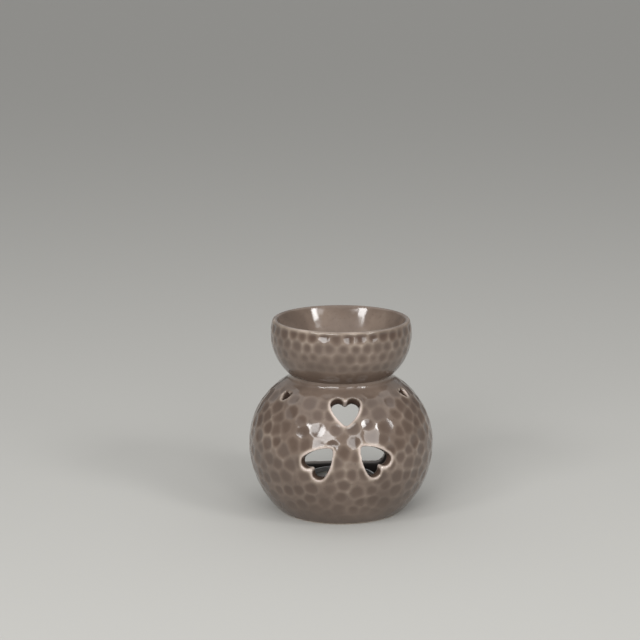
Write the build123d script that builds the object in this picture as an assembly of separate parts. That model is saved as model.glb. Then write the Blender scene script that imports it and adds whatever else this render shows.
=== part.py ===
from build123d import *
import os
from math import acos, asin, atan2, cos, degrees, hypot, radians, sin, sqrt, tan

# Fire chamber: a slip-cast globe on a foot ring, open at the neck, in millimetres
globe_radius = 50.0
equator_height = 36.0
shoulder_offset = 9.7
chamber_wall = 6.0
floor_thickness = 5.0
foot_recess_depth = 1.0
foot_ring_width = 6.0
foot_round = 1.5
floor_round = 4.0
neck_radius = 29.0
neck_height = 4.1
neck_fillet = 4.0

# Heart cut-outs: one upright, and a leaning pair below it with their tips turned in, all cut by hand
heart_width = 16.0
heart_notch = 2.8
heart_shoulder_angle = -8.0
notch_round = 1.0
tip_round = 0.8
top_heart_length = 16.8
top_heart_gap = 2.7
lower_heart_length = 18.8
lower_heart_drop = 38.35
lower_heart_azimuth = 16.2
lower_heart_turn = 137.0
right_heart_lift = 1.3
knife_overrun = 3.0
rim_round = 0.7

# Small heart vents around the shoulder, set a little round from the large hearts
vent_width = 6.4
vent_length = 6.2
vent_notch = 1.1
vent_gap = 3.05
vent_azimuths = (61.8, 118.2)
vent_shift = 3.2

# Rear doorway for the candle
door_width = 54.0
door_height = 44.4
door_sill = 6.0
door_sill_bow = 1.2
door_corner = 6.0

# Oil bowl, luted onto the neck
bowl_radius = 37.9
bowl_curve = 28.0
bowl_height = 28.65
bowl_floor = 4.2
bowl_foot_depth = 4.2
lip_width = 2.4
dish_flare = 26.0
dish_corner = 26.0

# Tealight
cup_radius = 18.8
cup_base_radius = 18.0
cup_height = 10.0
cup_wall = 0.4
cup_bead = 0.45
wax_depth = 7.4
wax_shrinkage = 0.1
wick_radius = 0.9
wick_length = 13.0
tab_radius = 6.2
tab_thickness = 0.4
collar_radius = 1.7
collar_height = 3.0
wick_clearance = 0.05

# Heights and radii that follow from the sizes above
floor_height = foot_recess_depth + floor_thickness
inner_radius = globe_radius - chamber_wall
shoulder_curve = globe_radius - shoulder_offset
inner_shoulder_curve = shoulder_curve - chamber_wall
neck_bore = neck_radius - chamber_wall
neck_foot = equator_height + sqrt(shoulder_curve**2 - (neck_radius - shoulder_offset) ** 2)
neck_lean = degrees(acos((neck_radius + neck_fillet - shoulder_offset) / (shoulder_curve + neck_fillet)))
seat_height = neck_foot + neck_height
candle_floor = floor_height + cup_wall
upright = (Align.CENTER, Align.CENTER, Align.MIN)

# Points closer than this count as lying on the same surface
hair = 0.01


def ring_edge(solid, radius, height):
    """The round edge of a solid that lies nearest to a radius and a height."""
    rings = solid.edges().filter_by(GeomType.CIRCLE)
    return rings.sort_by(lambda ring: abs(ring.radius - radius) + abs(ring.arc_center.Z - height))[0]


def make_globe():
    """The globe's wall, turned about Z, with its foot ring and its neck.

    Below the equator it is part of a sphere. Above it, the shoulder is a rounder arc, centred off the axis.
    """
    foot_angle = degrees(asin(-equator_height / globe_radius))
    foot_radius = globe_radius * cos(radians(foot_angle))
    recess_radius = foot_radius - foot_ring_width
    neck_angle = degrees(atan2(neck_foot - equator_height, neck_radius - shoulder_offset))
    bore_foot = equator_height + sqrt(inner_shoulder_curve**2 - (neck_bore - shoulder_offset) ** 2)
    bore_angle = degrees(atan2(bore_foot - equator_height, neck_bore - shoulder_offset))
    floor_angle = degrees(asin((floor_height - equator_height) / inner_radius))
    floor_radius = inner_radius * cos(radians(floor_angle))
    globe_centre = (0, equator_height)
    shoulder_centre = (shoulder_offset, equator_height)
    outline = [
        Polyline(
            (0, foot_recess_depth),
            (recess_radius, foot_recess_depth),
            (recess_radius, 0),
            (foot_radius, 0),
        ),
        CenterArc(globe_centre, globe_radius, foot_angle, -foot_angle),
        CenterArc(shoulder_centre, shoulder_curve, 0, neck_angle),
        Polyline(
            (neck_radius, neck_foot),
            (neck_radius, seat_height),
            (neck_bore, seat_height),
            (neck_bore, bore_foot),
        ),
        CenterArc(shoulder_centre, inner_shoulder_curve, 0, bore_angle),
        CenterArc(globe_centre, inner_radius, floor_angle, -floor_angle),
        Polyline((floor_radius, floor_height), (0, floor_height), (0, foot_recess_depth)),
    ]
    globe = revolve(Plane.XZ * make_face(outline), Axis.Z)
    globe = fillet(ring_edge(globe, neck_radius, neck_foot), neck_fillet)
    globe = fillet(ring_edge(globe, foot_radius, 0), foot_round)
    return fillet(ring_edge(globe, floor_radius, floor_height), floor_round)


def curve_offset(rise):
    """How far from the axis the skin's curve is centred, above or below the equator."""
    return shoulder_offset if rise > 0 else 0.0


def off_skin(point):
    """How far a point lies off the globe's outer skin."""
    rise = point.Z - equator_height
    offset = curve_offset(rise)
    return abs(hypot(hypot(point.X, point.Y) - offset, rise) - (globe_radius - offset))


def skin_plane(azimuth, lean):
    """A plane on the globe's skin, at a lean up from the equator, with X round it, Y up it and Z out."""
    offset = curve_offset(lean)
    turn = radians(azimuth)
    tilt = radians(lean)
    radius = offset + (globe_radius - offset) * cos(tilt)
    height = equator_height + (globe_radius - offset) * sin(tilt)
    spot = (radius * sin(turn), -radius * cos(turn), height)
    outward = (cos(tilt) * sin(turn), -cos(tilt) * cos(turn), sin(tilt))
    return Plane(spot, x_dir=(cos(turn), sin(turn), 0), z_dir=outward)


def lean_under_neck(gap, length):
    """The lean of an opening whose upper end lies a gap below the neck's fillet."""
    return neck_lean - degrees((gap + length / 2) / shoulder_curve)


def heart_face(width, length, notch):
    """A heart, tip down: two round lobes, a soft notch between them, and bowed sides to a soft tip."""
    lobe = notch + width / 2 - sqrt(notch * (width + 2 * notch_round))
    lobe_x = width / 2 - lobe
    lobe_y = length / 2 - lobe
    notch_rise = lobe + notch_round - notch
    notch_angle = degrees(atan2(notch_rise, -lobe_x))
    shoulder = radians(heart_shoulder_angle)
    side_start = (lobe_x + lobe * cos(shoulder), lobe_y + lobe * sin(shoulder))
    right_lobe = CenterArc(
        (lobe_x, lobe_y), lobe, heart_shoulder_angle, notch_angle - heart_shoulder_angle
    )
    right_side = TangentArc(side_start, (0, -length / 2), tangent=(sin(shoulder), -cos(shoulder)))
    right = [right_lobe, right_side]
    dip = CenterArc((0, lobe_y + notch_rise), notch_round, -notch_angle, 2 * notch_angle - 180)
    heart = make_face(right + [dip] + [mirror(edge, Plane.YZ) for edge in right])
    return fillet(heart.vertices().sort_by(Axis.Y)[0], tip_round)


def heart_cut(width, length, notch, azimuth, lean, turn=0.0):
    """The clay that a knife takes out, held square to the skin, so the cut narrows inwards."""
    skin = skin_plane(azimuth, lean)
    heart = heart_face(width, length, notch)
    ends = []
    for depth in (knife_overrun, -chamber_wall - knife_overrun):
        ends.append(skin.offset(depth) * Rot(0, 0, turn) * scale(heart, by=1 + depth / globe_radius))
    return loft(ends, ruled=True)


def door_cut():
    """The doorway's arch on a slightly bowed sill, cut straight out through the back."""
    sill = floor_height + door_sill
    half = door_width / 2
    sill_end = sill + door_sill_bow
    spring = sill + door_height - half
    arch = [
        ThreePointArc((-half, sill_end), (0, sill), (half, sill_end)),
        Line((half, sill_end), (half, spring)),
        CenterArc((0, spring), half, 0, 180),
        Line((-half, spring), (-half, sill_end)),
    ]
    face = make_face(arch)
    face = fillet(face.vertices().group_by(Axis.Y)[0], door_corner)
    rear = Plane((0, 0, 0), x_dir=(-1, 0, 0), z_dir=(0, 1, 0))
    return extrude(rear * face, globe_radius + knife_overrun)


def cut_opening(globe, cut):
    """Cut an opening out of the globe and round its outer rim."""
    opened = globe - cut
    rim = []
    for edge in opened.edges():
        middle = edge @ 0.5
        if off_skin(middle) < hair and cut.distance_to(middle) < hair:
            rim.append(edge)
    return fillet(rim, rim_round)


def make_chamber():
    """The globe with its hearts, vents and doorway cut out."""
    top_lean = lean_under_neck(top_heart_gap, top_heart_length)
    vent_lean = lean_under_neck(vent_gap, vent_length)
    cuts = [heart_cut(heart_width, top_heart_length, heart_notch, 0, top_lean)]
    for side, lift in ((-1, 0), (1, right_heart_lift)):
        azimuth = side * lower_heart_azimuth
        lean = top_lean - lower_heart_drop + lift
        turn = -side * lower_heart_turn
        cuts.append(heart_cut(heart_width, lower_heart_length, heart_notch, azimuth, lean, turn))
        for vent_azimuth in vent_azimuths:
            azimuth = side * vent_azimuth + vent_shift
            cuts.append(heart_cut(vent_width, vent_length, vent_notch, azimuth, vent_lean))
    cuts.append(door_cut())
    chamber = make_globe()
    for cut in cuts:
        chamber = cut_opening(chamber, cut)
    return chamber


def make_oil_bowl():
    """The bowl: one round outer curve from its foot ring to a narrow rolled lip, and a flared dish inside."""
    belly_x = bowl_radius - bowl_curve
    belly_z = seat_height + sqrt(bowl_curve**2 - (neck_radius - belly_x) ** 2)
    foot_angle = degrees(atan2(seat_height - belly_z, neck_radius - belly_x))
    roll = lip_width / 2
    sweep = bowl_curve - roll
    lip_angle = asin((seat_height + bowl_height - roll - belly_z) / sweep)
    lip_centre = Vector(belly_x + sweep * cos(lip_angle), belly_z + sweep * sin(lip_angle))
    flare = radians(dish_flare)
    lip_outer = lip_centre + Vector(cos(lip_angle), sin(lip_angle)) * roll
    lip_top = lip_centre + Vector(0, roll)
    lip_inner = lip_centre + Vector(-cos(flare), sin(flare)) * roll
    dish_bottom = seat_height + bowl_floor
    dish_edge = (lip_inner.X - (lip_inner.Y - dish_bottom) * tan(flare), dish_bottom)
    under_curve = (neck_bore**2 + bowl_foot_depth**2) / (2 * bowl_foot_depth)
    under_angle = degrees(asin(neck_bore / under_curve))
    groove = (neck_bore, seat_height + bowl_foot_depth)
    outline = [
        Polyline((0, dish_bottom), dish_edge, lip_inner),
        ThreePointArc(lip_inner, lip_top, lip_outer),
        CenterArc((belly_x, belly_z), bowl_curve, foot_angle, degrees(lip_angle) - foot_angle),
        Polyline((neck_radius, seat_height), (neck_bore, seat_height), groove),
        CenterArc((0, seat_height + under_curve), under_curve, -90, under_angle),
        Line((0, seat_height), (0, dish_bottom)),
    ]
    section = make_face(outline)
    section = fillet(section.vertices().sort_by_distance(dish_edge)[0], dish_corner)
    return revolve(Plane.XZ * section, Axis.Z)


def make_tealight_cup():
    """A drawn aluminium cup with a rolled bead round its mouth."""
    wall = [
        (0, 0),
        (cup_base_radius, 0),
        (cup_radius, cup_height - cup_bead),
        (cup_radius - cup_wall, cup_height - cup_bead),
        (cup_base_radius - cup_wall, cup_wall),
        (0, cup_wall),
    ]
    shell = revolve(Plane.XZ * make_face(Polyline(wall, close=True)), Axis.Z)
    bead_circle = Pos(cup_radius, cup_height - cup_bead) * Circle(cup_bead)
    bead = revolve(Plane.XZ * bead_circle, Axis.Z)
    return Pos(0, 0, floor_height) * (shell + bead)


def make_wick(clearance=0.0):
    """The cotton wick, standing on the cup's floor."""
    return Pos(0, 0, candle_floor) * Cylinder(wick_radius + clearance, wick_length, align=upright)


def make_wick_tab():
    """The stamped tab that holds the wick upright by its crimped collar."""
    disc = Cylinder(tab_radius, tab_thickness, align=upright)
    collar = Cylinder(collar_radius, collar_height, align=upright)
    tab = Pos(0, 0, candle_floor) * (disc + collar)
    return tab - make_wick(wick_clearance)


def make_wax():
    """The wax, shrunk a little from the cup's wall and cast round the tab and the wick."""
    slope = (cup_radius - cup_base_radius) / (cup_height - cup_bead)
    base = cup_base_radius - cup_wall - wax_shrinkage
    top = base + slope * wax_depth
    wax = Pos(0, 0, candle_floor) * Cone(base, top, wax_depth, align=upright)
    return wax - make_wick_tab() - make_wick(wick_clearance)


pieces = {
    "chamber": make_chamber(),
    "oil_bowl": make_oil_bowl(),
    "tealight_cup": make_tealight_cup(),
    "tealight_wax": make_wax(),
    "wick": make_wick(),
    "wick_tab": make_wick_tab(),
}
os.makedirs("parts", exist_ok=True)
for name, piece in pieces.items():
    export_step(piece, f"parts/{name}.step")
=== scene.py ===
# %% [markdown]
# # An essential oil burner in glazed ceramic
# A round chamber holds a tealight, and its flame warms a bowl of water and scented oil on top. The
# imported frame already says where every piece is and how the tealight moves. This lesson dresses it:
# hammered clay, a glaze that breaks pale over every edge, and a small candle in its metal cup.

# %% Load the frame
import math
import random

import bpy
import numpy as np
from mathutils import Matrix, Vector
from mathutils.kdtree import KDTree


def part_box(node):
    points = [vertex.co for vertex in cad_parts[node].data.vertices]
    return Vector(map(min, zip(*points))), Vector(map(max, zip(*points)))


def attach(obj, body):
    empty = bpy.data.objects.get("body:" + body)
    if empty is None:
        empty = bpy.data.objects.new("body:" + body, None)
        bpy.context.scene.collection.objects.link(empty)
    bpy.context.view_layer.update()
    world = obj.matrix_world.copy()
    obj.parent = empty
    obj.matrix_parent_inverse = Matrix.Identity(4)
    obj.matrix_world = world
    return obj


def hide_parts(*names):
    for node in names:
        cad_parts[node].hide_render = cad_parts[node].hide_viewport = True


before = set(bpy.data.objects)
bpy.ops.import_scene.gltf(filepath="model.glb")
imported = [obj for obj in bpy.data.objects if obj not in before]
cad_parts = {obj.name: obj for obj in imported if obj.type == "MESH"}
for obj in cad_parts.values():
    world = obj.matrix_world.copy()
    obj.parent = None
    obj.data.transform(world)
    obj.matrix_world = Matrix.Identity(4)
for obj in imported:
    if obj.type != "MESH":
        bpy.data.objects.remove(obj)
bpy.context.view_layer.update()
mm = 0.001

# %% [markdown]
# ## Camera
# The burner stands a little right of the middle of the picture, seen from slightly above and from
# slightly left of its hearts. A long lens keeps the globe from bulging. Turning the camera, rather
# than shifting its frame, keeps the burner in the middle of the other views.

# %% Camera
camera_distance = 0.840
camera_height = 0.27967
camera_round = math.radians(3.7)
camera_dip = math.radians(11.875)
camera_swing = math.radians(0.775)
camera_lens = 90.05
bpy.ops.object.select_all(action="DESELECT")
bpy.ops.object.camera_add(
    location=(
        -camera_distance * math.sin(camera_round),
        -camera_distance * math.cos(camera_round),
        camera_height,
    ),
    rotation=(math.pi / 2 - camera_dip, 0, camera_swing - camera_round),
)
camera = bpy.context.object
camera.data.lens = camera_lens
bpy.context.scene.camera = camera
print("camera at", [round(x, 3) for x in camera.location])

# %% [markdown]
# ## Light and floor
# A glossy glaze shows its lights, so their shapes matter. Two small softboxes hang high at the sides
# and shine in the dish. Three broad ones stand low in front and fill whole hammer marks with light.
# Two soft skies light the floor evenly: one overhead, which leaves the foot in shade, and one behind.

# %% Light and floor
aim = Vector((0, 0, 0.06))
softbox_distance = 1.6


def hang_light(name, azimuth, elevation, width, height, watts):
    """Hang a softbox round the burner: azimuth 0 is in front, plus is to the right."""
    turn, lift = math.radians(azimuth), math.radians(elevation)
    away = Vector((math.sin(turn) * math.cos(lift), -math.cos(turn) * math.cos(lift), math.sin(lift)))
    bpy.ops.object.light_add(type="AREA", location=aim + away * softbox_distance)
    lamp = bpy.context.object
    lamp.name = name
    lamp.rotation_euler = away.to_track_quat("Z", "Y").to_euler()
    lamp.data.shape = "RECTANGLE"
    lamp.data.size = width
    lamp.data.size_y = height
    lamp.data.energy = watts


def open_sky(name, elevation, spread, strength):
    """Light everything evenly from an elevation, 90 overhead and more behind, over a spread of degrees."""
    bpy.ops.object.light_add(type="SUN", rotation=(math.radians(90 - elevation), 0, 0))
    lamp = bpy.context.object
    lamp.name = name
    lamp.data.angle = math.radians(spread)
    lamp.data.energy = strength


hang_light("high_left", azimuth=-49, elevation=34.5, width=0.36, height=0.30, watts=5.8)
hang_light("high_right", azimuth=52, elevation=34.5, width=0.32, height=0.30, watts=5.0)
hang_light("low_left", azimuth=-24, elevation=24, width=0.72, height=0.77, watts=14.5)
hang_light("low_middle", azimuth=17, elevation=24, width=0.36, height=0.77, watts=4.4)
hang_light("low_right", azimuth=43, elevation=24, width=0.48, height=0.77, watts=4.8)
open_sky("sky_overhead", elevation=90, spread=100, strength=1.15)
open_sky("sky_back", elevation=130, spread=90, strength=0.4)
world = bpy.context.scene.world or bpy.data.worlds.new("surround")
bpy.context.scene.world = world
world.use_nodes = True
surround = world.node_tree.nodes["Background"]
surround.inputs["Color"].default_value = (1.0, 0.99, 0.97, 1)
surround.inputs["Strength"].default_value = 0.12
bpy.context.scene.view_settings.view_transform = "Standard"

floor_width = 60
bpy.ops.mesh.primitive_plane_add(size=floor_width)
floor = bpy.context.object
floor.name = "floor"

# %% [markdown]
# ## Hand tools
# A few moves come back for every piece: pick one object and nothing else, draw a line by pulling one
# vertex from point to point, turn a drawn profile round the axis like clay on a wheel, and put on a
# modifier and apply it. All drawings are in millimetres.


# %% Hand tools
weld = 0.002 * mm


def pick(piece):
    """Select this piece alone and make it the active one."""
    bpy.ops.object.select_all(action="DESELECT")
    piece.select_set(True)
    bpy.context.view_layer.objects.active = piece


def draw(name, points):
    """Draw a line through points, by pulling one vertex out from each to the next; stays in edit mode."""
    bpy.ops.object.select_all(action="DESELECT")
    bpy.ops.mesh.primitive_circle_add(vertices=3, radius=mm)
    piece = bpy.context.object
    piece.name = piece.data.name = name
    bpy.ops.object.mode_set(mode="EDIT")
    bpy.ops.mesh.merge(type="CENTER")
    here = Vector()
    for number, point in enumerate(points):
        there = Vector(point) * mm
        if number:
            bpy.ops.mesh.extrude_region_move(TRANSFORM_OT_translate={"value": there - here})
        else:
            bpy.ops.transform.translate(value=there)
        here = there
    return piece


def arc(centre, radius, start, end, step):
    """Points along an arc, about a step apart; its two angles are in degrees from level."""
    count = max(3, round(math.radians(abs(end - start)) * radius / step) + 1)
    turns = np.radians(np.linspace(start, end, count))
    return [(centre[0] + radius * math.cos(t), centre[1] + radius * math.sin(t)) for t in turns]


def throw(name, profile, steps):
    """Turn a profile of radii and heights round the axis into a closed piece."""
    piece = draw(name, [(radius, 0, height) for radius, height in profile])
    bpy.ops.mesh.select_all(action="SELECT")
    bpy.ops.mesh.spin(steps=steps, angle=math.tau, center=(0, 0, 0), axis=(0, 0, 1))
    bpy.ops.mesh.select_all(action="SELECT")
    bpy.ops.mesh.remove_doubles(threshold=weld)
    bpy.ops.mesh.normals_make_consistent(inside=False)
    bpy.ops.object.mode_set(mode="OBJECT")
    return piece


def apply(piece, kind, **settings):
    """Put a modifier on a piece and apply it."""
    pick(piece)
    modifier = piece.modifiers.new(kind.lower(), kind)
    for name, value in settings.items():
        setattr(modifier, name, value)
    bpy.ops.object.modifier_apply(modifier=modifier.name)


def places_of(piece):
    """A piece's vertices in millimetres, as rows of x, y, z."""
    places = np.empty(len(piece.data.vertices) * 3, np.float32)
    piece.data.vertices.foreach_get("co", places)
    return places.reshape(-1, 3).astype(float) / mm


def count_triangles(piece):
    """How many triangles a piece's faces make."""
    return sum(len(face.vertices) - 2 for face in piece.data.polygons)


# %% [markdown]
# ## The globe's wall
# The chamber is slip-cast: a round wall of even thickness on a foot ring, drawn in to a tight waist,
# where a small fillet of clay runs up under the bowl. It could start from a sphere, but the shoulder is
# rounder than the belly, so its profile is drawn once, outside and inside, and turned on the wheel.

# %% The globe's wall
globe_radius = 50.0
equator = 36.0
shoulder_offset = 9.7
wall = 6.0
foot_recess = 1.0
foot_ring = 6.0
floor_level = 6.0
floor_round = 4.0
neck_radius = 29.0
bowl_radius = 37.9
bowl_curve = 28.0
bowl_sunk = 0.2
waist_round = 2.5
wheel_step = 1.3
wheel_steps = 240
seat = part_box("chamber")[1].z / mm
shoulder = globe_radius - shoulder_offset
belly_centre = (0, equator)
shoulder_centre = (shoulder_offset, equator)
foot_angle = -math.degrees(math.asin(equator / globe_radius))
foot_radius = globe_radius * math.cos(math.radians(foot_angle))
curve_r = bowl_radius - bowl_curve
curve_z = seat + math.sqrt(bowl_curve**2 - (neck_radius - curve_r) ** 2)
# The waist's circle touches the shoulder below and runs a little way into the bowl's round above.
lift = Vector((curve_r, curve_z)) - Vector(shoulder_centre)
from_shoulder = shoulder + waist_round
from_bowl = bowl_curve - bowl_sunk + waist_round
up = (from_shoulder**2 - from_bowl**2 + lift.length_squared) / (2 * lift.length)
out = math.sqrt(from_shoulder**2 - up**2)
across = Vector((lift.y, -lift.x))
waist = Vector(shoulder_centre) + lift.normalized() * up + across.normalized() * out
waist_low = math.degrees(math.atan2(waist.y - equator, waist.x - shoulder_offset))
waist_high = math.degrees(math.atan2(curve_z - waist.y, curve_r - waist.x))
bore_lean = math.degrees(math.acos((neck_radius - wall - shoulder_offset) / (shoulder - wall)))
corner_z = floor_level + floor_round
corner_angle = -math.degrees(math.asin((equator - corner_z) / (globe_radius - wall - floor_round)))
corner_r = (globe_radius - wall - floor_round) * math.cos(math.radians(corner_angle))
profile = [(0, foot_recess), (foot_radius - foot_ring, foot_recess), (foot_radius - foot_ring, 0)]
profile += arc(belly_centre, globe_radius, foot_angle, 0, wheel_step)
profile += arc(shoulder_centre, shoulder, 0, waist_low, wheel_step)[1:]
profile += arc(waist, waist_round, waist_low + 180, waist_high, wheel_step / 2)[1:]
profile += [(neck_radius - wall, seat)]
profile += arc(shoulder_centre, shoulder - wall, bore_lean, 0, wheel_step)
profile += arc(belly_centre, globe_radius - wall, 0, corner_angle, wheel_step)[1:]
profile += arc((corner_r, corner_z), floor_round, corner_angle, -90, wheel_step)[1:]
profile += [(0, floor_level)]
globe = throw("globe", profile, wheel_steps)
print("globe wall:", len(globe.data.polygons), "faces")

# %% [markdown]
# ## Cut the hearts, the vents and the doorway
# Each opening is cut with a knife held square to the skin while the clay is soft, so the hearts get
# narrower towards the inside. A drawn outline is filled, pushed through the wall and narrowed, and
# the wall is cut with all of these knives at once by a Boolean.

# %% Outline of a heart
notch_round = 1.0
lobe_end = -8.0
outline_step = 0.6


def heart(width, length, notch):
    """A heart's outline, tip down: a soft notch, a round lobe and a bowed side, then the same mirrored."""
    lobe = notch + width / 2 - math.sqrt(notch * (width + 2 * notch_round))
    lobe_x, lobe_y = width / 2 - lobe, length / 2 - lobe
    rise = lobe + notch_round - notch
    notch_angle = math.degrees(math.atan2(rise, -lobe_x))
    half = arc((0, lobe_y + rise), notch_round, -90, notch_angle - 180, outline_step)
    half += arc((lobe_x, lobe_y), lobe, notch_angle, lobe_end, outline_step)[1:]
    inward = -Vector((math.cos(math.radians(lobe_end)), math.sin(math.radians(lobe_end))))
    chord = Vector((0, -length / 2)) - Vector(half[-1])
    bow = chord.length_squared / (2 * chord.dot(inward))
    centre = Vector(half[-1]) + inward * bow
    tip_angle = math.degrees(math.atan2(-length / 2 - centre.y, -centre.x))
    half += arc(centre, bow, lobe_end, tip_angle, outline_step)[1:]
    return half + [(-x, y) for x, y in reversed(half[1:-1])]


heart_width = 16.0
heart_notch = 2.8
top_length = 16.8
low_length = 18.8
vent_width = 6.4
vent_length = 6.2
vent_notch = 1.1
top_heart = heart(heart_width, top_length, heart_notch)
low_heart = heart(heart_width, low_length, heart_notch)
vent = heart(vent_width, vent_length, vent_notch)
print("points round the top heart:", len(top_heart))


# %% A knife for each opening
def knife(outline, place, near, far, narrowing):
    """The clay that comes out: an outline filled at near, pushed through to far and narrowed there."""
    piece = draw("knife", [(x, y, near) for x, y in outline + outline[:1]])
    bpy.ops.mesh.select_all(action="SELECT")
    bpy.ops.mesh.remove_doubles(threshold=weld)
    bpy.ops.mesh.edge_face_add()
    bpy.ops.mesh.extrude_region_move(TRANSFORM_OT_translate={"value": (0, 0, (far - near) * mm)})
    bpy.ops.transform.resize(value=(narrowing, narrowing, 1), center_override=(0, 0, 0))
    bpy.ops.mesh.select_all(action="SELECT")
    bpy.ops.mesh.normals_make_consistent(inside=False)
    bpy.ops.object.mode_set(mode="OBJECT")
    piece.matrix_world = place
    bpy.ops.object.transform_apply(location=True, rotation=True, scale=True)
    return piece


def on_skin(azimuth, lean, turn):
    """A place on the globe's skin, with X round it, Y up it and Z straight out, turned in its plane."""
    offset = shoulder_offset if lean > 0 else 0.0
    around, tilt = math.radians(azimuth), math.radians(lean)
    radius = offset + (globe_radius - offset) * math.cos(tilt)
    height = equator + (globe_radius - offset) * math.sin(tilt)
    move = Matrix.Translation(Vector((0, -radius, height)) * mm)
    face_out = Matrix.Rotation(math.pi / 2 - tilt, 4, "X")
    in_plane = Matrix.Rotation(math.radians(turn), 4, "Z")
    return Matrix.Rotation(around, 4, "Z") @ move @ face_out @ in_plane


overrun = 3.0
heart_narrowing = (globe_radius - wall - overrun) / (globe_radius + overrun)
wider = 1 + overrun / globe_radius
vent_lean = 49.53
# Each opening has its azimuth, its lean above the equator and its turn in the skin, in degrees.
openings = [(top_heart, (0, 42.49, 0)), (low_heart, (-16.2, 4.14, 137)), (low_heart, (16.2, 5.44, -137))]
openings += [(vent, (azimuth, vent_lean, 0)) for azimuth in (-115, -58.6, 65, 121.4)]
knives = []
for outline, spot in openings:
    outline = [(x * wider, y * wider) for x, y in outline]
    knives.append(knife(outline, on_skin(*spot), overrun, -wall - overrun, heart_narrowing))
print("heart knives:", len(knives))

# %% The doorway's knife
door_half = 27.0
door_sill = 12.0
door_top = 56.4
door_corner = 6.0
sill_bow = 1.2
spring = door_top - door_half
corner_x = door_half - door_corner
corner_up = door_sill + sill_bow + door_corner
half_door = [(0, door_sill), (corner_x / 2, door_sill + sill_bow / 4)]
half_door += arc((corner_x, corner_up), door_corner, -90, 0, outline_step)
half_door += arc((0, spring), door_half, 0, 90, outline_step)
door = half_door + [(-x, y) for x, y in reversed(half_door[1:-1])]
from_behind = Matrix(((-1, 0, 0, 0), (0, 0, 1, 0), (0, 1, 0, 0), (0, 0, 0, 1)))
knives.append(knife(door, from_behind, 0, globe_radius + overrun, 1))
bpy.ops.object.select_all(action="DESELECT")
for piece in knives:
    piece.select_set(True)
bpy.context.view_layer.objects.active = knives[0]
bpy.ops.object.join()
all_knives = bpy.context.object
apply(globe, "BOOLEAN", operation="DIFFERENCE", solver="EXACT", object=all_knives)
bpy.data.objects.remove(all_knives)
print("cut globe:", len(globe.data.polygons), "faces")

# %% [markdown]
# ## Soften the clay
# A wet sponge rounds every cut edge before firing. A bevel would trip over the Boolean's scraps, so
# the wall is recast in small even quads by a voxel remesh and smoothed, which rounds the rims by
# about a millimetre. The doorway's thin edges are sponged longer. The inside keeps only as many faces
# as its plain curve needs.

# %% Soften the clay
clay_grain = 0.69
sponging = 6
door_sponging = 45
thin_edge = 3.0
apply(globe, "REMESH", mode="VOXEL", voxel_size=clay_grain * mm)
apply(globe, "SMOOTH", factor=0.5, iterations=sponging)


def tree_of(spots):
    """A search tree of these spots, numbered in their order."""
    tree = KDTree(len(spots))
    for number, spot in enumerate(spots):
        tree.insert(spot, number)
    tree.balance()
    return tree


door_edge = []
for start, end in zip(door, door[1:] + door[:1]):
    for share in np.linspace(0, 1, 8):
        x, z = Vector(start).lerp(end, share)
        door_edge.append((x, 0, z))
door_tree = tree_of(door_edge)
near_door = [number for number, (x, y, z) in enumerate(places_of(globe))
             if y > 0 and door_tree.find((x, 0, z))[2] < thin_edge]
globe.vertex_groups.new(name="doorway").add(near_door, 1.0, "REPLACE")
apply(globe, "SMOOTH", factor=0.5, iterations=door_sponging, vertex_group="doorway")
print("clay sponged longer round the doorway:", len(near_door), "points")

# %% Thin out the inside
# Where the inside begins under the skin: it sets which faces are thinned and where the inside is painted
# dark as shade.
inside_start = 4.0
inside_fade = 1.6
fully_inside = 0.99
inner_detail = 0.14


def depth_in_wall(places):
    """How far below the globe's outer skin each place lies, in millimetres."""
    rise = places[:, 2] - equator
    offset = np.where(rise > 0, shoulder_offset, 0.0)
    return globe_radius - offset - np.hypot(np.hypot(places[:, 0], places[:, 1]) - offset, rise)


def inner_share(places):
    """0 on the outer skin, rising to 1 on the walls and the floor of the chamber."""
    share = np.clip((depth_in_wall(places) - inside_start) / inside_fade, 0, 1)
    return np.where(places[:, 2] > floor_level / 2, share, 0.0)


inner = inner_share(places_of(globe)) > fully_inside
bpy.ops.object.mode_set(mode="EDIT")
bpy.ops.mesh.select_mode(type="VERT")
bpy.ops.mesh.select_all(action="DESELECT")
bpy.ops.object.mode_set(mode="OBJECT")
globe.data.vertices.foreach_set("select", inner)
bpy.ops.object.mode_set(mode="EDIT")
bpy.ops.mesh.select_mode(type="VERT")
bpy.ops.mesh.decimate(ratio=inner_detail)
bpy.ops.object.mode_set(mode="OBJECT")
print("softened globe:", count_triangles(globe), "triangles")

# %% [markdown]
# ## Hammer marks
# The skin is beaten all over with a round-nosed tool. Bump alone would leave the outline smooth, so
# the marks are pressed into the mesh: each is a shallow hollow, no two are nearer than the tool is
# wide, and neighbouring hollows meet in soft ridges that stay at the height of the plain skin.

# %% Tools for hammering
ridge_softness = 0.035
reach_spread = (0.85, 1.18)
depth_spread = (0.75, 1.2)
nearest_marks = 5


def scatter(spots, spacing, dice):
    """Choose marks among the spots in a shuffled order, none nearer to another than the spacing."""
    tree = tree_of(spots)
    order = list(range(len(spots)))
    dice.shuffle(order)
    free = [True] * len(spots)
    marks = []
    for number in order:
        if free[number]:
            marks.append(spots[number])
            for _, near, _ in tree.find_range(spots[number], spacing):
                free[near] = False
    return marks


def hammer(places, marks, reach, depths, dice):
    """How far each place goes down under the marks, in millimetres, as a number below zero."""
    tree = tree_of(marks)
    reaches = [reach * dice.uniform(*reach_spread) for _ in marks]
    depths = [depth * dice.uniform(*depth_spread) for depth in depths]
    levels = np.zeros(len(places))
    for row, place in enumerate(places):
        total = 1.0
        for _, near, gap in tree.find_n(place, nearest_marks):
            hollow = depths[near] * (1 - (gap / reaches[near]) ** 2)
            total += math.exp(hollow / ridge_softness)
        levels[row] = -ridge_softness * math.log(total)
    return levels


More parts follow.
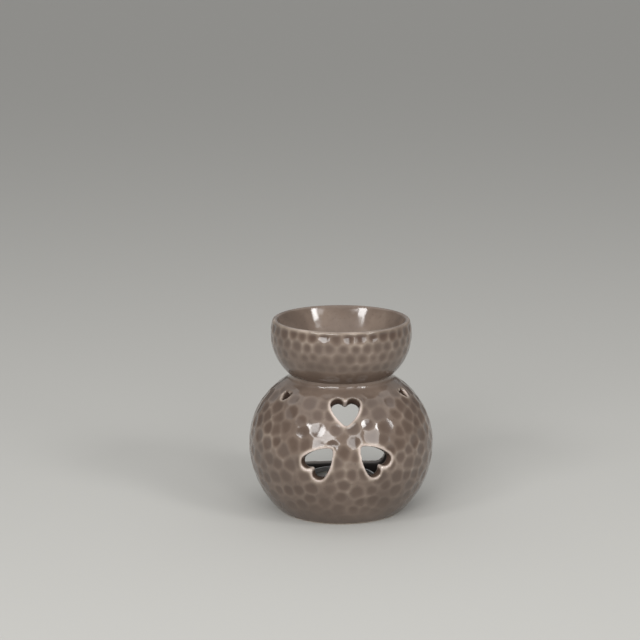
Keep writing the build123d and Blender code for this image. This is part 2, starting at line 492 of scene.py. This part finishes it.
def sink(piece, rows, levels):
    """Move these vertices along their normals by so many millimetres."""
    normals = np.empty(len(piece.data.vertices) * 3, np.float32)
    piece.data.vertices.foreach_get("normal", normals)
    places = places_of(piece)
    places[rows] += normals.reshape(-1, 3)[rows] * levels[:, None]
    piece.data.vertices.foreach_set("co", (places * mm).astype(np.float32).ravel())
    piece.data.update()


def ease(values, start, end):
    """0 before start and 1 after end, with a soft step between them."""
    share = np.clip((values - start) / (end - start), 0, 1)
    return share * share * (3 - 2 * share)


print("ridges are", ridge_softness, "mm soft")

# %% Hammer the globe
mark_spacing = 6.2
mark_reach = 4.9
mark_depth = 0.46
ridge_lift = 0.12
skin_depth = 0.25
foot_line = 1.2
rim_low, rim_high = 0.35, 2.0
rim_foot = 3.0
rim_fade = (0.2, 2.0)
belly_fade = (1.0, 24.0)
crown_fade = (68.0, 71.0)
places = places_of(globe)
depth_now = depth_in_wall(places)
on_rim = (depth_now > rim_low) & (depth_now < rim_high) & (places[:, 2] > rim_foot)
rim_tree = tree_of(places[on_rim])
skin = np.flatnonzero((depth_now < skin_depth) & (places[:, 2] > foot_line))
from_rim = np.array([rim_tree.find(place)[2] for place in places[skin]])
dice = random.Random(11)
marks = scatter([tuple(place) for place in places[skin]], mark_spacing, dice)
levels = hammer(places[skin], marks, mark_reach, [mark_depth] * len(marks), dice)
levels = np.minimum(levels + ridge_lift, 0)
heights = places[skin][:, 2]
fade = ease(from_rim, *rim_fade) * ease(heights, *belly_fade) * (1 - ease(heights, *crown_fade))
sink(globe, skin, levels * fade)
print("globe:", len(marks), "marks, deepest", round(-float((levels * fade).min()), 2), "mm")

# %% [markdown]
# ## The oil bowl
# The bowl has a round belly, a narrow rolled lip and a smooth flared dish, and is luted into the waist
# with slip. Its outside is hammered in rows. A lathe profile gives clean rings for the glossy dish, so
# no remesh is needed here.

# %% The oil bowl
lip_round = 1.6
dish_flare = 26.0
wall_bow = 2.5
dish_corner = 26.0
bowl_floor = 4.2
bowl_foot = 4.2
tuck = 2.0
tuck_wall = 1.5
tuck_top = 0.5
bowl_step = 0.7
bowl_steps = 336
flat_points = 8
wall_points = 14
bowl_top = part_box("oil_bowl")[1].z / mm
bowl_centre = (curve_r, curve_z)
lip_z = bowl_top - lip_round
lip_angle = math.degrees(math.asin((lip_z - curve_z) / (bowl_curve - lip_round)))
lip_r = curve_r + (bowl_curve - lip_round) * math.cos(math.radians(lip_angle))
flare = math.radians(dish_flare)
dish_top = arc((lip_r, lip_z), lip_round, 180 - dish_flare + wall_bow, 90, bowl_step)[0]
dish_bottom = seat + bowl_floor
dish_edge = dish_top[0] - (dish_top[1] - dish_bottom) * math.tan(flare)
dish_flat = dish_edge - dish_corner * math.tan(math.pi / 4 - flare / 2)
tuck_angle = -math.degrees(math.asin((curve_z - seat + tuck) / bowl_curve))
bore = neck_radius - wall
under_curve = (bore**2 + bowl_foot**2) / (2 * bowl_foot)
under_angle = math.degrees(math.asin(bore / under_curve))
profile = [(radius, dish_bottom) for radius in np.linspace(0, dish_flat, flat_points)]
corner_centre = (dish_flat, dish_bottom + dish_corner)
profile += arc(corner_centre, dish_corner, -90, -dish_flare - wall_bow, bowl_step)[1:]
# The dish's wall is a curve that leaves both ends towards one point outside its straight line.
wall_foot = Vector(profile[-1])
wall_run = Vector(dish_top) - wall_foot
wall_side = Vector((wall_run.y, -wall_run.x))
wall_belly = wall_foot + wall_run / 2 + wall_side / 2 * math.tan(math.radians(wall_bow))
for share in np.linspace(0, 1, wall_points)[1:-1]:
    rising = wall_foot.lerp(wall_belly, share)
    profile.append(tuple(rising.lerp(wall_belly.lerp(dish_top, share), share)))
profile += arc((lip_r, lip_z), lip_round, 180 - dish_flare + wall_bow, lip_angle, bowl_step / 2)
profile += arc(bowl_centre, bowl_curve, lip_angle, tuck_angle, bowl_step)[1:]
profile += [(bore + tuck_wall, seat - tuck), (bore + tuck_wall, seat - tuck_top), (bore, seat - tuck_top)]
profile += arc((0, seat + under_curve), under_curve, under_angle - 90, -90, 2 * bowl_step)
bowl = throw("bowl", profile, bowl_steps)
print("bowl:", count_triangles(bowl), "triangles")

# %% Hammer the bowl in rows
row_heights = (100.9, 95.4, 89.9, 84.4)
row_stagger = (0.0, 0.5, 0.1, 0.6)
row_depths = (0.52, 0.43, 0.35, 0.28)
row_reach = 3.9
marks_round = 37
unevenness = 0.8
skin_band = 0.05
lip_fade = (102.4, 103.2)
waist_fade = (79.0, 83.0)
dice = random.Random(23)


def bowl_skin(heights):
    """The radius of the bowl's outside at these heights, in millimetres."""
    rise = np.clip(heights - curve_z, -bowl_curve, bowl_curve)
    return curve_r + np.sqrt(bowl_curve**2 - rise**2)


marks = []
depths = []
for row, stagger, depth in zip(row_heights, row_stagger, row_depths):
    depths += [depth] * marks_round
    for number in range(marks_round):
        height = row + dice.uniform(-unevenness, unevenness)
        radius = float(bowl_skin(height))
        turn = math.tau * (number + stagger) / marks_round
        turn += dice.uniform(-unevenness, unevenness) / radius
        marks.append((radius * math.cos(turn), radius * math.sin(turn), height))
places = places_of(bowl)
radii = np.hypot(places[:, 0], places[:, 1])
skin = np.flatnonzero(np.abs(radii - bowl_skin(places[:, 2])) < skin_band)
heights = places[skin][:, 2]
levels = np.minimum(hammer(places[skin], marks, row_reach, depths, dice) + ridge_lift, 0)
fade = (1 - ease(heights, *lip_fade)) * ease(heights, *waist_fade)
sink(bowl, skin, levels * fade)
print("bowl:", len(marks), "marks, deepest", round(-float((levels * fade).min()), 2), "mm")

# %% [markdown]
# ## Where the glaze lies
# Molten glaze runs off high edges and pools in hollows, so it fires pale on rims and ridges and dark
# in the pits; the palest rims are partly a painted highlight. That lie is measured here, as each point's
# height over its smoothed surroundings, and kept on the mesh as an attribute for the material. The
# neck and the dish get a fixed pale lie, painted light, and the joint a slightly dark one, partly
# painted shade. A second attribute marks the inside, which is painted dark as shade.


# %% Where the glaze lies
def keep(piece, name, values):
    """Keep one number for each vertex on a piece's mesh."""
    attribute = piece.data.attributes.new(name, "FLOAT", "POINT")
    attribute.data.foreach_set("value", np.asarray(values, np.float32))


def measure_lie(piece, passes, blur):
    """How high each vertex stands over its surroundings, smoothed so many times, then blurred, in mm."""
    edges = np.empty(len(piece.data.edges) * 2, np.int64)
    piece.data.edges.foreach_get("vertices", edges)
    ends = np.concatenate([edges[0::2], edges[1::2]])
    others = np.concatenate([edges[1::2], edges[0::2]])
    start = places_of(piece)
    total = len(start)
    neighbours = np.bincount(ends, minlength=total)
    smooth = start.copy()
    for _ in range(passes):
        for axis in range(3):
            pulled = np.bincount(ends, weights=smooth[others, axis], minlength=total)
            smooth[:, axis] = (smooth[:, axis] + pulled / neighbours) / 2
    normals = np.empty(total * 3, np.float32)
    piece.data.vertices.foreach_get("normal", normals)
    lie = np.einsum("ij,ij->i", start - smooth, normals.reshape(-1, 3))
    for _ in range(blur):
        lie = (lie + np.bincount(ends, weights=lie[others], minlength=total) / neighbours) / 2
    return lie


lie_passes = 14
lie_blur = 3


def report_lie(name, lie):
    """Print how the glaze lies over a piece, from its pits to its edges."""
    shares = np.percentile(lie, (5, 25, 50, 75, 95, 99.5))
    print(name, "glaze lie in mm:", *(round(float(x), 3) for x in shares))


# %% Glaze on the globe
neck_painted_light = 0.04
neck_fade = (66.0, 70.0)
places = places_of(globe)
lie = measure_lie(globe, lie_passes, lie_blur)
# Above the shoulder the lie eases to one slightly pale value: painted light on the smooth neck.
lie += (neck_painted_light - lie) * ease(places[:, 2], *neck_fade)
keep(globe, "glaze_lie_and_painted_light", lie)
# The chamber's inside is painted dark brown in the material: painted shade.
keep(globe, "painted_inside_shade", inner_share(places))
report_lie("globe", lie[inner_share(places) == 0])

# %% Glaze on the bowl
dish_painted_light = 0.06
bowl_contrast = 0.75
lip_lie = 0.13
joint_pool_and_shade = -0.01
joint_fade = (seat, seat + 7.0)
dish_inset = 1.0
under_line = seat + bowl_foot - 0.2
under_fade = (3.0, 6.0)
places = places_of(bowl)
heights = places[:, 2]
lie = np.minimum(measure_lie(bowl, lie_passes, lie_blur) * bowl_contrast, lip_lie)
# The dish takes one slightly pale lie: painted light, as its upturned inside catches the light from above.
lie = np.where(radii < bowl_skin(heights) - dish_inset, dish_painted_light, lie)
# Near the seat the lie eases to a slightly dark value: pooled glaze, and partly painted shade in the crease
# under the bowl.
lie = joint_pool_and_shade + (lie - joint_pool_and_shade) * ease(heights, *joint_fade)
keep(bowl, "glaze_lie_and_painted_light", lie)
# The bowl's underside, inside the neck, is painted dark like the chamber's inside: painted shade.
under_bowl_shade = ease(neck_radius - np.hypot(places[:, 0], places[:, 1]), *under_fade)
keep(bowl, "painted_inside_shade", np.where(heights < under_line, under_bowl_shade, 0.0))
report_lie("bowl", lie)

# %% [markdown]
# ## The tealight
# A drawn aluminium cup with a rolled bead, filled with wax that has shrunk to a shallow dish, and a
# plied cotton wick. The cup and the wax are turned from their profiles. The wick is three small
# rings carried up the axis by a Screw modifier, which twists them into one cord.

# %% Cup
cup_low, cup_high = (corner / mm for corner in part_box("tealight_cup"))
bead = 0.45
sheet = 0.3
draft = 0.8
base_corner = 0.9
base_step = 0.35
step_outside, step_inside = 2.8, 3.4
inner_shift = 0.1
corner_step = 0.25
bead_step = 0.16
cup_steps = 160
cup_top = cup_high.z
cup_radius = cup_high.x - bead
cup_base = cup_radius - draft
base_top = cup_low.z + base_step
corner_centre = (cup_base - base_corner, cup_low.z + base_corner)
bead_angle = math.degrees(math.atan2(cup_radius - cup_base, cup_top - cup_low.z))
profile = [(0, base_top), (cup_base - step_inside, base_top), (cup_base - step_outside, cup_low.z)]
profile += arc(corner_centre, base_corner, -90, -bead_angle, corner_step)
profile += arc((cup_radius, cup_top - bead), bead, -80, 180, bead_step)
profile += arc(corner_centre, base_corner - sheet, -bead_angle, -90, corner_step)
profile += [(cup_base - step_outside + inner_shift, cup_low.z + sheet)]
profile += [(cup_base - step_inside + inner_shift, base_top + sheet), (0, base_top + sheet)]
cup = throw("tealight_cup_drawn", profile, cup_steps)
print("cup:", count_triangles(cup), "triangles")

# %% Wax
wax_low, wax_high = (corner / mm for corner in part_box("tealight_wax"))
wax_top = wax_high.z
wax_dip = 0.55
wax_rim = 0.35
rim_inset = 0.55
rim_drop = 1.2
rim_step = 0.12
rim_sharpness = 6
wall_gap = 0.25
base_gap = 0.3
base_inset = 2.5
side_inset = 1.2
side_rise = 0.8
top_inset = 1.6
top_drop = 0.05
top_points = 22
wick_mound = 0.4
mound_width = 2.2
wax_steps = 96
wax_base = wax_low.z + base_gap
profile = [(0, wax_base), (cup_base - base_inset, wax_base), (cup_base - side_inset, wax_low.z + side_rise)]
profile += [(wax_high.x - wall_gap, wax_top - rim_drop)]
profile += arc((wax_high.x - rim_inset, wax_top - wax_rim), wax_rim, 0, 120, rim_step)
for radius in np.linspace(wax_high.x - top_inset, 0.0, top_points):
    rim = (radius / wax_high.x) ** rim_sharpness
    mound = wick_mound * math.exp(-((radius / mound_width) ** 2))
    profile.append((radius, wax_top - top_drop - wax_dip * (1 - rim) + mound))
wax = throw("tealight_wax_cast", profile, wax_steps)
print("wax:", count_triangles(wax), "triangles")

# %% Wick
wick_low, wick_high = (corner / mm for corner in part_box("wick"))
ply = 0.44
plies = 3
ply_sides = 10
wick_clearance = 0.02
ply_centre = wick_high.x - ply - wick_clearance
wick_length = wick_high.z - wick_low.z
twists = 3.0
twist_steps = 72
bpy.ops.object.select_all(action="DESELECT")
for number in range(plies):
    turn = math.tau * number / plies
    spot = Vector((ply_centre * math.cos(turn), ply_centre * math.sin(turn), wick_low.z)) * mm
    bpy.ops.mesh.primitive_circle_add(vertices=ply_sides, radius=ply * mm, location=spot)
    if number:
        wick.select_set(True)
        bpy.context.view_layer.objects.active = wick
        bpy.ops.object.join()
    wick = bpy.context.object
wick.name = wick.data.name = "wick_plied"
bpy.ops.object.transform_apply(location=True, rotation=True, scale=True)
apply(wick, "SCREW", axis="Z", angle=math.tau * twists, screw_offset=wick_length * mm,
      steps=twist_steps, render_steps=twist_steps, use_smooth_shade=True)
bpy.ops.object.mode_set(mode="EDIT")
bpy.ops.mesh.select_all(action="SELECT")
bpy.ops.mesh.fill_holes(sides=0)
bpy.ops.mesh.select_all(action="SELECT")
bpy.ops.mesh.normals_make_consistent(inside=False)
bpy.ops.object.mode_set(mode="OBJECT")
print("wick:", count_triangles(wick), "triangles")

# %% [markdown]
# ## Materials
# One function turns a hex colour into Blender's linear values, and one adds a node with its settings
# and links. Everything else is said per finish.


# %% Material tools
def colour(hex_value):
    """A colour written as sRGB hex, in linear values."""
    parts = [int(hex_value[i:i + 2], 16) / 255 for i in (1, 3, 5)]
    return [p / 12.92 if p <= 0.04045 else ((p + 0.055) / 1.055) ** 2.4 for p in parts] + [1.0]


def add(tree, kind, sockets=(), **settings):
    """Add a node: settings are its own, and sockets hold values or the outputs to link."""
    node = tree.nodes.new("ShaderNode" + kind)
    for name, value in settings.items():
        setattr(node, name, value)
    for name, value in dict(sockets).items():
        if isinstance(value, bpy.types.NodeSocket):
            tree.links.new(value, node.inputs[name])
        else:
            node.inputs[name].default_value = value
    return node


def new_material(name):
    """An empty material's tree, with its shader and its coordinates in metres."""
    material = bpy.data.materials.new(name)
    material.use_nodes = True
    tree = material.node_tree
    spot = add(tree, "TexCoord").outputs["Object"]
    return material, tree, tree.nodes["Principled BSDF"], spot


print("taupe in linear values:", [round(x, 3) for x in colour("#7A6C62")])

# %% [markdown]
# ## Taupe glaze
# A glossy stoneware glaze: dark, slightly red where it pools in the pits, grey-brown on the ridges,
# and thin pinkish white where it breaks over a rim, which is partly a painted highlight. Soft clouds,
# a few millimetres to centimetres wide, keep it from looking painted. The foot ring is wiped bare, and
# the inside is painted dark brown as shade.

# %% Taupe glaze
glaze, tree, shader, spot = new_material("glazed_stoneware_taupe")
lie = add(tree, "Attribute", attribute_name="glaze_lie_and_painted_light").outputs["Fac"]
painted_inside_shade = add(tree, "Attribute", attribute_name="painted_inside_shade").outputs["Fac"]
cloud_size = 14 * mm
fleck_size = 1.6 * mm
clouds = add(tree, "TexNoise", {"Vector": spot, "Scale": 1 / cloud_size, "Detail": 3.0, "Roughness": 0.55})
flecks = add(tree, "TexNoise", {"Vector": spot, "Scale": 1 / fleck_size, "Detail": 2.0})
lie_low, lie_high = -0.06, 0.40
wear = add(tree, "MapRange", {"Value": clouds.outputs["Fac"], "From Min": 0.35, "From Max": 0.65,
                              "To Min": 0.6, "To Max": 1.05})
worn_lie = add(tree, "Math", {0: lie, 1: wear.outputs["Result"]}, operation="MULTIPLY")
level = add(tree, "MapRange", {"Value": worn_lie.outputs["Value"], "From Min": lie_low,
                               "From Max": lie_high})
# Pits dark, ridges lighter, rims palest: the glaze's own breaking, and on the rims partly a painted
# highlight.
glaze_and_painted_light = add(tree, "ValToRGB", {"Fac": level.outputs["Result"]})
steps = glaze_and_painted_light.color_ramp.elements
steps[0].position, steps[0].color = 0.0, colour("#504139")
steps[1].position, steps[1].color = 0.85, colour("#C8BBB1")
for place, tone in ((0.12, "#5B4D44"), (0.25, "#706258"), (0.36, "#887B6F"), (0.56, "#B0A198")):
    step = steps.new(place)
    step.color = colour(tone)
mottle = add(tree, "MapRange", {"Value": clouds.outputs["Fac"], "From Min": 0.3, "From Max": 0.7,
                                "To Min": 0.88, "To Max": 1.1})
body = add(tree, "Mix", {"Factor": 1.0, "A": glaze_and_painted_light.outputs["Color"], "B": mottle.outputs["Result"]},
           data_type="RGBA", blend_type="MULTIPLY")
fleck_share = add(tree, "MapRange", {"Value": flecks.outputs["Fac"], "From Min": 0.62, "From Max": 0.78,
                                     "To Min": 0.0, "To Max": 0.35})
flecked = add(tree, "Mix", {"Factor": fleck_share.outputs["Result"], "A": body.outputs["Result"],
                            "B": colour("#443933")}, data_type="RGBA")
# The inside is painted dark brown: painted shade.
shaded_inside_colour = add(tree, "Mix", {"Factor": painted_inside_shade, "A": flecked.outputs["Result"], "B": colour("#2A211C")},
             data_type="RGBA")
height = add(tree, "SeparateXYZ", {"Vector": spot}).outputs["Z"]
bare = add(tree, "MapRange", {"Value": height, "From Min": 0.25 * mm, "From Max": 0.75 * mm,
                              "To Min": 1.0, "To Max": 0.0})
footed = add(tree, "Mix", {"Factor": bare.outputs["Result"], "A": shaded_inside_colour.outputs["Result"],
                           "B": colour("#CDBBA6")}, data_type="RGBA")
tree.links.new(footed.outputs["Result"], shader.inputs["Base Color"])
matt = add(tree, "Math", {0: bare.outputs["Result"], 1: painted_inside_shade}, operation="MAXIMUM")
gloss = add(tree, "MapRange", {"Value": matt.outputs["Value"], "To Min": 0.10, "To Max": 0.75})
tree.links.new(gloss.outputs["Result"], shader.inputs["Roughness"])
ripple_size = 2.4 * mm
ripples = add(tree, "TexNoise", {"Vector": spot, "Scale": 1 / ripple_size, "Detail": 1.0})
swell_size = 9 * mm
swells = add(tree, "TexNoise", {"Vector": spot, "Scale": 1 / swell_size, "Detail": 0.0})
swell_bump = add(tree, "Bump", {"Height": swells.outputs["Fac"], "Strength": 1.0, "Distance": 0.25 * mm})
skin_bump = add(tree, "Bump", {"Height": ripples.outputs["Fac"], "Strength": 0.12, "Distance": 0.06 * mm,
                               "Normal": swell_bump.outputs["Normal"]})
tree.links.new(skin_bump.outputs["Normal"], shader.inputs["Normal"])
shader.inputs["IOR"].default_value = 1.52
print("glaze nodes:", len(tree.nodes))

# %% [markdown]
# ## Candle finishes
# Rolled aluminium sheet shows fine drawing lines round the cup. Paraffin wax is milky and lets light
# in, so it gets some subsurface scattering. The wick is matt cotton, mottled by its fibres, and the
# tab under the wax is plain tinplate.

# %% Drawn aluminium
aluminium, tree, shader, spot = new_material("drawn_aluminium")
shader.inputs["Base Color"].default_value = colour("#D3D4D6")
shader.inputs["Metallic"].default_value = 1.0
line_size = 0.35 * mm
stretched = add(tree, "Mapping", {"Vector": spot, "Scale": (0.08, 0.08, 1.0)})
lines = add(tree, "TexNoise", {"Vector": stretched.outputs["Vector"], "Scale": 1 / line_size, "Detail": 3.0})
rough = add(tree, "MapRange", {"Value": lines.outputs["Fac"], "To Min": 0.22, "To Max": 0.42})
tree.links.new(rough.outputs["Result"], shader.inputs["Roughness"])
line_bump = add(tree, "Bump", {"Height": lines.outputs["Fac"], "Strength": 0.3, "Distance": 0.03 * mm})
tree.links.new(line_bump.outputs["Normal"], shader.inputs["Normal"])

# %% Paraffin wax
paraffin, tree, shader, spot = new_material("paraffin_wax")
bloom_size = 5 * mm
bloom = add(tree, "TexNoise", {"Vector": spot, "Scale": 1 / bloom_size, "Detail": 4.0})
milk = add(tree, "ValToRGB", {"Fac": bloom.outputs["Fac"]})
milk.color_ramp.elements[0].position, milk.color_ramp.elements[0].color = 0.3, colour("#E6E0D4")
milk.color_ramp.elements[1].position, milk.color_ramp.elements[1].color = 0.7, colour("#F4F0E8")
tree.links.new(milk.outputs["Color"], shader.inputs["Base Color"])
shader.inputs["Roughness"].default_value = 0.42
shader.inputs["IOR"].default_value = 1.44
shader.inputs["Subsurface Weight"].default_value = 0.35
shader.inputs["Subsurface Radius"].default_value = (1.0, 0.85, 0.7)
shader.inputs["Subsurface Scale"].default_value = 2.5 * mm
wax_bump = add(tree, "Bump", {"Height": bloom.outputs["Fac"], "Strength": 0.25, "Distance": 0.15 * mm})
tree.links.new(wax_bump.outputs["Normal"], shader.inputs["Normal"])

# %% Cotton wick and tinplate tab
cotton, tree, shader, spot = new_material("waxed_cotton")
fibre_size = 0.3 * mm
fibres = add(tree, "TexNoise", {"Vector": spot, "Scale": 1 / fibre_size, "Detail": 4.0})
tint = add(tree, "ValToRGB", {"Fac": fibres.outputs["Fac"]})
tint.color_ramp.elements[0].position, tint.color_ramp.elements[0].color = 0.3, colour("#CFC5B2")
tint.color_ramp.elements[1].position, tint.color_ramp.elements[1].color = 0.7, colour("#F1ECE0")
tree.links.new(tint.outputs["Color"], shader.inputs["Base Color"])
shader.inputs["Roughness"].default_value = 0.8
fibre_bump = add(tree, "Bump", {"Height": fibres.outputs["Fac"], "Strength": 0.6, "Distance": 0.1 * mm})
tree.links.new(fibre_bump.outputs["Normal"], shader.inputs["Normal"])

tinplate, tree, shader, spot = new_material("stamped_tinplate")
shader.inputs["Base Color"].default_value = colour("#B9BABB")
shader.inputs["Metallic"].default_value = 1.0
grit = add(tree, "TexNoise", {"Vector": spot, "Scale": 1 / line_size, "Detail": 2.0})
rough = add(tree, "MapRange", {"Value": grit.outputs["Fac"], "To Min": 0.3, "To Max": 0.5})
tree.links.new(rough.outputs["Result"], shader.inputs["Roughness"])

# %% Plain floor
paper, tree, shader, _ = new_material("pale_paper")
shader.inputs["Base Color"].default_value = colour("#B0AFAB")
shader.inputs["Roughness"].default_value = 0.9
floor.data.materials.append(paper)
print("materials:", [m.name for m in bpy.data.materials if m.users])

# %% [markdown]
# ## Join the frame
# Each piece rides on its body, stands for the node it is made from, and names that node's finish. The
# tab keeps its CAD shape, because the wax hides it.

# %% Join the frame
dressed = (
    (globe, glaze, "burner", "chamber", "taupe_glaze"),
    (bowl, glaze, "burner", "oil_bowl", "taupe_glaze"),
    (cup, aluminium, "tealight", "tealight_cup", "cup_aluminium"),
    (wax, paraffin, "tealight", "tealight_wax", "candle_wax"),
    (wick, cotton, "tealight", "wick", "wick_cotton"),
)
for piece, finish, body, node, slot in dressed:
    piece.data.materials.clear()
    piece.data.materials.append(finish)
    pick(piece)
    bpy.ops.object.shade_smooth()
    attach(piece, body)
    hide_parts(node)
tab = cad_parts["wick_tab"]
tab.data.materials.clear()
tab.data.materials.append(tinplate)
